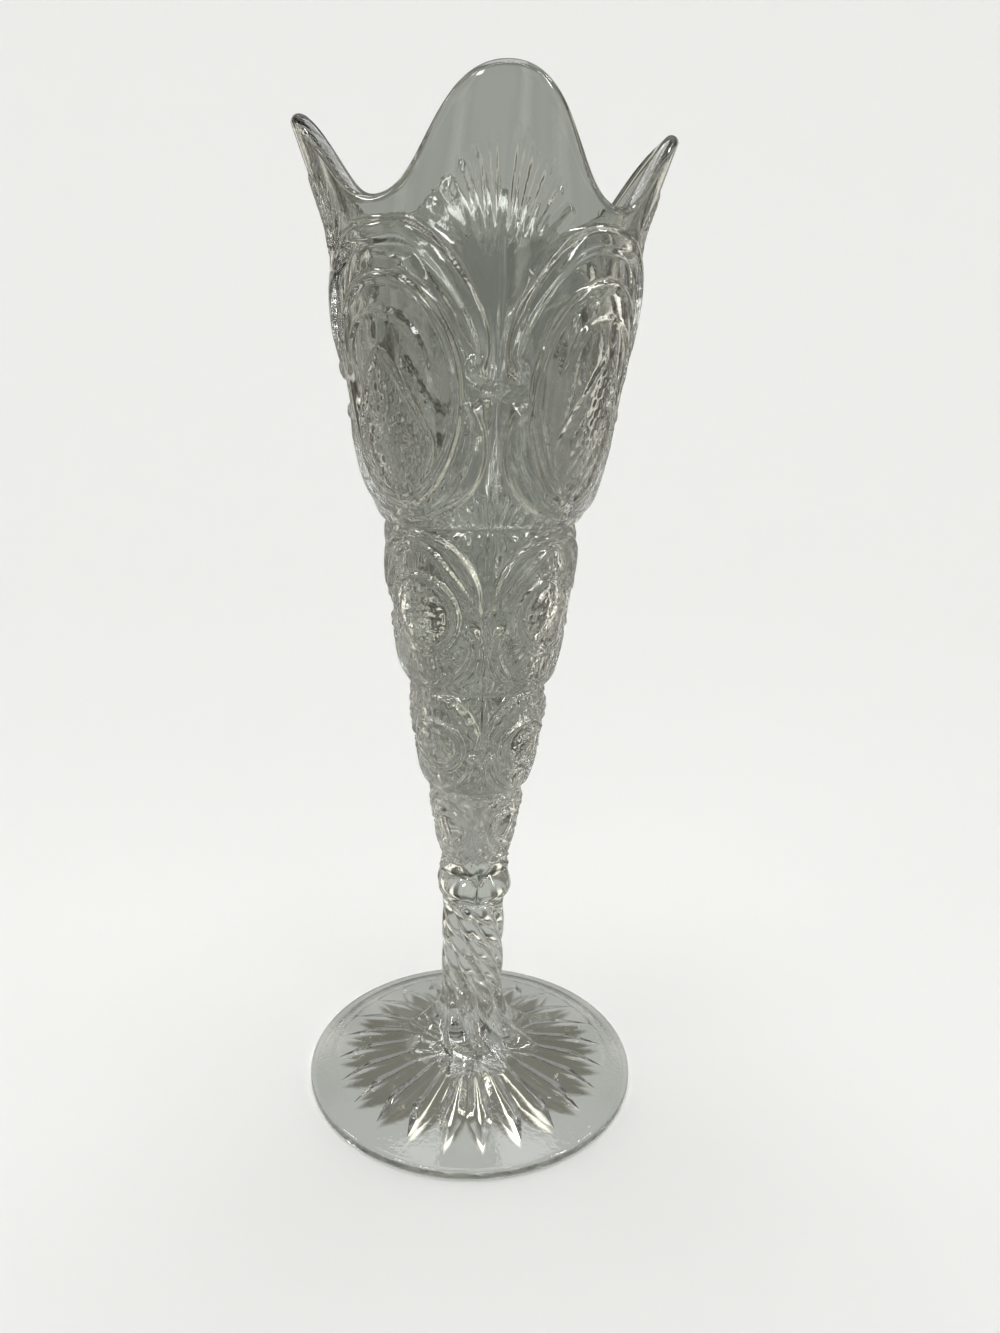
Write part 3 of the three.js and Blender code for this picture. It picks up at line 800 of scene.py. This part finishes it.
# %% Finish the skin
STAR_SHARP, STAR_ROOM = math.radians(14), (0.0386, 0.0058)
bm = bmesh.new()
bm.from_mesh(mesh)
for face in bm.faces:
    face.smooth = True
for line in bm.edges:
    a, b = (corner.co for corner in line.verts)
    in_star = max(a.xy.length, b.xy.length) < STAR_ROOM[0] and max(a.z, b.z) < STAR_ROOM[1]
    line.smooth = not (in_star and line.calc_face_angle(0) > STAR_SHARP)
bm.to_mesh(mesh)
print("volume", round(bm.calc_volume() * 1e6, 1), "cubic centimetres")
bm.free()

vase = bpy.data.objects.new("vase_glass", mesh)
scene.collection.objects.link(vase)
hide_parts("foot", "stem", "collar", "bowl")
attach(vase, "root")

# %% [markdown]
# ## The glass
# Old pressed glass is clear but never perfect. It has a faint ripple from the mould, tiny pits,
# most of them on the foot, which stands and slides, and a slightly smoky, greenish cast. The
# ripple and the pits are a bump, the cast is a pale base colour with a little variation, and
# the refraction does the rest.

# %% Helpers for node trees
def fill(tree, entry, value):
    """Wires an input to another node's output, or sets it to a value."""
    if isinstance(value, bpy.types.NodeSocket):
        tree.links.new(value, entry)
    elif value is not None:
        entry.default_value = value


def add_node(tree, kind, place, *entries, **values):
    """A node with its inputs filled in order, or by name as its settings are."""
    node = tree.nodes.new(kind)
    node.location = place
    for name, value in values.items():
        if name in node.inputs:
            fill(tree, node.inputs[name], value)
        else:
            setattr(node, name, value)
    for entry, value in zip(node.inputs, entries):
        fill(tree, entry, value)
    return node


def ease(tree, place, value, start, end, low=0.0, high=1.0, kind="SMOOTHSTEP"):
    """Maps a stretch of a value to a stretch of results."""
    node = add_node(tree, "ShaderNodeMapRange", place, value, start, end, low, high)
    node.interpolation_type = kind
    return node.outputs["Result"]


def blend(tree, place, factor, first, second, **settings):
    """Mixes two colours."""
    settings = {"data_type": "RGBA", **settings, "Factor": factor, "A": first, "B": second}
    return add_node(tree, "ShaderNodeMix", place, **settings).outputs["Result"]


print("helpers:", [tool.__name__ for tool in (fill, add_node, ease, blend)])

# %% Ripple and pits, as a group that any pressed glass can use
skin = bpy.data.node_groups.new("pressed_skin", "ShaderNodeTree")
for name, value in (("Ripple Size", 90.0), ("Pit Size", 900.0), ("Pit Share", 0.2)):
    socket = skin.interface.new_socket(name=name, in_out="INPUT", socket_type="NodeSocketFloat")
    socket.default_value = value
for name in ("Height", "Cloud"):
    skin.interface.new_socket(name=name, in_out="OUTPUT", socket_type="NodeSocketFloat")
given = add_node(skin, "NodeGroupInput", (-800, 0)).outputs
spot = add_node(skin, "ShaderNodeTexCoord", (-800, 300)).outputs["Object"]


def noise(place, size, **settings):
    """A noise texture in the group."""
    node = add_node(skin, "ShaderNodeTexNoise", place, Vector=spot, Scale=size, **settings)
    return node.outputs["Fac"]


ripple = noise((-500, 250), given["Ripple Size"], Detail=2.0, Roughness=0.5)
pits = noise((-500, -50), given["Pit Size"], Detail=1.0, Roughness=0.6)
cloud = noise((-500, -350), 28.0, Detail=3.0)
mixed = {"data_type": "FLOAT", "Factor": given["Pit Share"], "A": ripple, "B": pits}
uneven = add_node(skin, "ShaderNodeMix", (-100, 100), **mixed).outputs["Result"]
add_node(skin, "NodeGroupOutput", (400, 0), uneven, cloud)
print("group", skin.name, "with", len(skin.nodes), "nodes")

# %% Clear pressed glass
glass = bpy.data.materials.new("clear_pressed_glass")
glass.use_nodes = True
tree = glass.node_tree
shader = tree.nodes["Principled BSDF"]
shader.inputs["IOR"].default_value = 1.5
shader.inputs["Transmission Weight"].default_value = 1.0
shader.inputs["Metallic"].default_value = 0.0
shader.inputs["Roughness"].default_value = 0.02
spot = add_node(tree, "ShaderNodeTexCoord", (-1300, 100)).outputs["Object"]
level = add_node(tree, "ShaderNodeSeparateXYZ", (-1100, 100), spot).outputs["Z"]
worn = ease(tree, (-900, 100), level, 0.009, 0.013, 0.75, 0.2, "LINEAR")
settings = {"node_tree": skin, "Pit Share": worn}
surface = add_node(tree, "ShaderNodeGroup", (-700, 0), **settings).outputs
casts = (0.70, 0.72, 0.69, 1), (0.755, 0.765, 0.735, 1)
tint = blend(tree, (-350, 200), surface["Cloud"], *casts)
settings = {"Strength": 0.5, "Distance": 0.00012, "Height": surface["Height"]}
bump = add_node(tree, "ShaderNodeBump", (-350, -200), **settings).outputs["Normal"]
tree.links.new(tint, shader.inputs["Base Color"])
tree.links.new(bump, shader.inputs["Normal"])
mesh.materials.append(glass)
print("material", glass.name, "with", len(tree.nodes), "nodes")

# %% [markdown]
# ## The sweep
# The vase stands on a plain pale floor that curves up into a wall all round, so every side of
# the glass has the same ground behind it.

# %% A round sweep
SWEEP_RADIUS, SWEEP_BEND, SWEEP_TOP = 2.4, 1.6, 2.2
bm = bmesh.new()
floor_end = SWEEP_RADIUS - SWEEP_BEND
outline = [(0.0, 0.0), (0.5, 0.0), (floor_end, 0.0)]
for turn in np.linspace(0.1, math.pi / 2, 12):
    r = floor_end + SWEEP_BEND * math.sin(turn)
    outline.append((r, SWEEP_BEND - SWEEP_BEND * math.cos(turn)))
outline.append((SWEEP_RADIUS, SWEEP_TOP))
spin(bm, outline, 2 * math.pi, 96, use_merge=True)
bmesh.ops.remove_doubles(bm, verts=bm.verts[:], dist=SAME_PLACE)
bmesh.ops.recalc_face_normals(bm, faces=bm.faces[:])
if sum(face.normal.z for face in bm.faces) < 0:
    bmesh.ops.reverse_faces(bm, faces=bm.faces[:])
for face in bm.faces:
    face.smooth = True
ground = bpy.data.meshes.new("studio_sweep")
bm.to_mesh(ground)
bm.free()
sweep = bpy.data.objects.new("studio_sweep", ground)
scene.collection.objects.link(sweep)
print("sweep with", len(ground.polygons), "faces")

# %% [markdown]
# ## What the glass sees
# Clear glass has no look of its own: it shows the room, bent and mirrored. In front of an
# evenly white ground it would all but vanish. Rays that come out of the glass therefore see
# painted light and shade on the sweep, a glowing grey room, while the camera sees the pale
# paper itself. This painted room light is laid out by where a ray lands: in which direction,
# how far out and how high.

# %% Pale paper, and where on it a ray lands
ROOM_TURN = 6.8
# Pale paper for the camera, and a glowing room of painted light and shade for rays that come out
# of the glass.
paper = bpy.data.materials.new("pale_paper_and_painted_room")
paper.use_nodes = True
paper.cycles.emission_sampling = "NONE"
tree = paper.node_tree
card = tree.nodes["Principled BSDF"]
card.inputs["Base Color"].default_value = (0.83, 0.83, 0.82, 1)
card.inputs["Roughness"].default_value = 0.9


def maths(place, operation, *numbers):
    """A sum of sockets or numbers."""
    return add_node(tree, "ShaderNodeMath", place, *numbers, operation=operation).outputs[0]


spot = add_node(tree, "ShaderNodeTexCoord", (-1300, -100)).outputs["Object"]
radial = add_node(tree, "ShaderNodeTexGradient", (-1100, 0), spot, gradient_type="RADIAL")
around = radial.outputs["Fac"]
length = add_node(tree, "ShaderNodeVectorMath", (-1100, -250), spot, operation="LENGTH")
away = length.outputs["Value"]
up = add_node(tree, "ShaderNodeSeparateXYZ", (-1100, -450), spot).outputs["Z"]
sides = maths((-900, 0), "MULTIPLY_ADD", around, REPEATS, REPEATS * ROOM_TURN / 360)
corner = maths((-750, 0), "PINGPONG", sides, 0.5)
print("corners of the room:", REPEATS)

# %% [markdown]
# ## Painted strips of light and shade towards the corners
# Near the foot the painted room light is an even grey, in place of a lit table top. Further
# away, broad painted strips of light and shade towards its four corners draw the dark and
# bright lines along every band and facet. Far out they are laid out a little differently.

# %% The strips
# Painted light near the foot: an even grey in place of a lit table top.
PAINTED_TABLE_LIGHT = (0.171, 0.172, 0.167, 1)
PALE, LESS_PALE, DARK, LESS_DARK = (
    (0.46, 0.445, 0.4), (0.44, 0.425, 0.38), (0.05, 0.047, 0.04), (0.055, 0.052, 0.045),
)


def ramp(place, value, stops):
    """A colour ramp: each stop is a position with a level or a colour."""
    node = add_node(tree, "ShaderNodeValToRGB", place, value)
    elements = node.color_ramp.elements
    for position, tone in stops:
        stop = elements.new(position) if position > 0 else elements[0]
        stop.position = position
        stop.color = (*(tone if isinstance(tone, tuple) else (tone,) * 3), 1)
    elements.remove(elements[-1])
    return node.outputs["Color"]


# Painted strips of light and shade in the glowing room, near and far.
near_strips = ramp((-550, 200), corner, (
    (0.0, (0.18, 0.185, 0.174)), (0.13, (0.172, 0.175, 0.163)), (0.16, (0.06, 0.057, 0.05)),
    (0.24, LESS_DARK), (0.28, PALE), (0.36, LESS_PALE), (0.395, DARK), (0.45, LESS_DARK),
    (0.5, (0.22, 0.21, 0.19)),
))
far_strips = ramp((-550, 0), corner, (
    (0.0, (0.165, 0.17, 0.16)), (0.13, (0.16, 0.163, 0.152)), (0.165, (0.22, 0.216, 0.198)),
    (0.195, (0.21, 0.206, 0.188)), (0.22, DARK), (0.265, DARK), (0.295, PALE),
    (0.35, LESS_PALE), (0.385, (0.045, 0.042, 0.035)), (0.45, DARK), (0.5, (0.2, 0.195, 0.175)),
))
beyond = ease(tree, (-550, -100), away, 0.55, 0.75)
strips = blend(tree, (-350, 0), beyond, near_strips, far_strips)
off_table = ease(tree, (-900, -250), away, 0.06, 0.09)
table = blend(tree, (-450, -150), off_table, PAINTED_TABLE_LIGHT, strips)
print("strips between", DARK, "and", PALE)

# %% [markdown]
# ## Painted rings on the floor and painted shade on the wall
# Painted rings of light and shade on the floor add lines that lie across the strips. The wall
# is painted darker low down, in one stretch above the height of the petals, and high up.

# %% Painted light and shade by distance and by height
WALL_HEIGHT = 2.0
DARKEN = {"blend_type": "MULTIPLY", "clamp_result": False}
RING_STOPS = (
    (0.0, 0.97), (0.115, 0.9), (0.135, 0.28), (0.16, 0.28), (0.175, 0.85), (0.2, 0.85),
    (0.22, 0.34), (0.24, 0.34), (0.26, 0.86), (0.3, 0.84), (0.34, 0.34), (0.37, 0.34),
    (0.4, 1.2), (0.45, 1.15), (0.49, 0.7), (0.53, 0.68), (0.6, 0.56), (0.7, 0.54),
)
WALL_STOPS = (
    (0.0, 0.74), (0.03, 0.64), (0.14, 0.63), (0.22, 0.95), (0.56, 1.0), (0.62, 0.5), (0.7, 0.5),
    (0.76, 0.3), (0.9, 0.3),
)
# Painted rings of light and shade, by distance from the vase.
rings = ramp((-900, -500), away, RING_STOPS)
ringed = blend(tree, (-250, -150), 1.0, table, rings, **DARKEN)
# Painted shade on the wall, by height.
up_wall = ease(tree, (-900, -600), up, 0.0, WALL_HEIGHT, kind="LINEAR")
painted_wall_shade = ramp((-700, -600), up_wall, WALL_STOPS)
by_height = blend(tree, (-350, -250), 1.0, ringed, painted_wall_shade, **DARKEN)
print(len(RING_STOPS), "stops of distance and", len(WALL_STOPS), "of height")

# %% [markdown]
# ## Painted shadow and glints under the star
# Right under the star the glowing floor holds a painted shadow, with painted glints of light
# gathered in lines along the grooves on the side that faces the camera. The patch is a star
# too: it reaches further out along the lines.

# %% Painted shadow and glints under the star
# A painted shadow under the foot and painted glints along the front grooves.
PAINTED_STAR_SHADOW, PAINTED_STAR_GLINTS = (0.046, 0.045, 0.038, 1), (0.8, 0.765, 0.68, 1)
STAR_EDGE, STAR_WAVE, FRONT = (0.0345, 0.0395), 0.022, 0.25
spokes = maths((-900, -800), "MULTIPLY", around, RAYS)
spoke = maths((-750, -800), "PINGPONG", spokes, 0.5)
streak = ease(tree, (-600, -800), spoke, 0.0, 0.18, 1.0, 0.0)
off_front = maths((-750, -1000), "ABSOLUTE", maths((-900, -1000), "SUBTRACT", around, FRONT))
in_front = ease(tree, (-600, -1000), off_front, 0.025, 0.13, 1.0, 0.0)
gathered = maths((-400, -900), "MULTIPLY", streak, in_front)
# Painted shadow, lit up by painted glints in the front grooves.
painted_star_shadow_and_glints = blend(tree, (-250, -700), gathered, PAINTED_STAR_SHADOW, PAINTED_STAR_GLINTS)
wavy = maths((-600, -450), "MULTIPLY_ADD", spoke, STAR_WAVE, away)
past_star = ease(tree, (-450, -400), wavy, *STAR_EDGE)
# All the painted light and shade that the glass sees, put together.
painted_room_light = blend(tree, (-150, -300), past_star, painted_star_shadow_and_glints, by_height)
print("the dark patch fades at", STAR_EDGE, "m")

# %% [markdown]
# ## Paper for the camera, painted room light for the glass
# The painted room shines by itself, as an emission that is no lamp, so the lamps don't have
# to be set for it. A ray that was bent or mirrored by the glass sees this painted light and
# shade, and every other ray sees the paper.

# %% Choose by the kind of ray
# The painted light and shade glows, so the glass shows it as painted reflections and a painted
# room seen through it.
glow = add_node(tree, "ShaderNodeEmission", (-50, -100), Color=painted_room_light, Strength=5.0)
rays = add_node(tree, "ShaderNodeLightPath", (-550, 400)).outputs
either = maths((-350, 300), "MAXIMUM", rays["Is Transmission Ray"], rays["Is Glossy Ray"])
pair = card.outputs["BSDF"], glow.outputs["Emission"]
seen = add_node(tree, "ShaderNodeMixShader", (200, 100), either, *pair)
tree.links.new(seen.outputs["Shader"], tree.nodes["Material Output"].inputs["Surface"])
ground.materials.append(paper)
print("paper with", len(tree.nodes), "nodes")

# %% [markdown]
# ## Light
# A wide soft lamp overhead lights the sweep evenly. A tall window lamp on the left, a narrow
# strip on the right, a long bar in front and three small lamps put the bright points on the
# crests. They throw no shadow and leave the paper alone, because clear glass passes nearly
# all their light on to the floor. The top lamp is hidden from rays that come through the
# glass, or the foot of the stem would be full of white.

# %% Lamps
def soft_lamp(name, place, aim, size, power, lights_paper=False):
    """A soft lamp that points at a spot on the vase."""
    lamp = bpy.data.lights.new(name, "AREA")
    lamp.shape, lamp.energy, lamp.use_shadow = "RECTANGLE", power, lights_paper
    lamp.size, lamp.size_y = size
    thing = bpy.data.objects.new(name, lamp)
    thing.location = place
    towards = Matrix.Translation(aim).translation - thing.location
    thing.rotation_euler = towards.to_track_quat("-Z", "Y").to_euler()
    thing.visible_diffuse = lights_paper
    thing.visible_transmission = not lights_paper
    scene.collection.objects.link(thing)


MIDDLE, HIGHER = (0, 0, 0.12), (0, 0, 0.15)
SPARK_SIZE, SPARK_POWER = (0.16, 0.24), 2.4
soft_lamp("top_lamp", (0, 0.2, 3.4), (0, 0.2, 0), (2.6, 2.6), 64, lights_paper=True)
soft_lamp("window_lamp", (-1.1, -0.9, 1.1), MIDDLE, (0.2, 0.45), 4)
soft_lamp("strip_lamp", (1.0, -0.7, 0.7), MIDDLE, (0.08, 0.8), 5)
soft_lamp("bar_lamp", (0, -1.0, 1.5), MIDDLE, (2.0, 0.1), 9)
for number, place in enumerate(((-0.6, -1.0, 0.45), (-1.2, 0.1, 0.9), (1.1, 0.1, 1.2)), 1):
    soft_lamp(f"spark_lamp_{number}", place, HIGHER, SPARK_SIZE, SPARK_POWER)
print("lamps:", [lamp.name for lamp in bpy.data.lights])

# %% A dim, even world, and enough bounces for light that crosses many surfaces of the vase
BOUNCES, GLOSSY_BOUNCES = 24, 8
world = bpy.data.worlds.new("studio")
world.use_nodes = True
sky = world.node_tree.nodes["Background"]
sky.inputs["Color"].default_value = (0.77, 0.77, 0.75, 1)
sky.inputs["Strength"].default_value = 0.5
scene.world = world
scene.view_settings.view_transform = "Standard"
scene.cycles.max_bounces = scene.cycles.transmission_bounces = BOUNCES
scene.cycles.glossy_bounces = GLOSSY_BOUNCES
print("bounces:", BOUNCES)

# %% [markdown]
# ## The camera
# The photograph was taken from close by with a wide lens, a little above the rim and looking
# down, so the foot is seen well from above.

# %% Camera
LENS, PITCH, ROLL, VASE_TURN = 26.02, 14.24, 1.4, 6.8
EYE = (5.9, -248.67, 184.62)
lens = bpy.data.cameras.new("view")
lens.lens, lens.sensor_width, lens.clip_start = LENS, 36.0, 0.01
camera = bpy.data.objects.new("view", lens)


def turned(degrees, axis):
    """A rotation matrix."""
    return Matrix.Rotation(math.radians(degrees), 4, axis)


stand = Matrix.Translation([v * MM for v in EYE])
aim = turned(90 - PITCH, "X") @ turned(ROLL, "Z")
camera.matrix_world = turned(-VASE_TURN, "Z") @ stand @ aim
scene.collection.objects.link(camera)
scene.camera = camera
print("camera stands", round(camera.matrix_world.translation.length, 3), "m away")
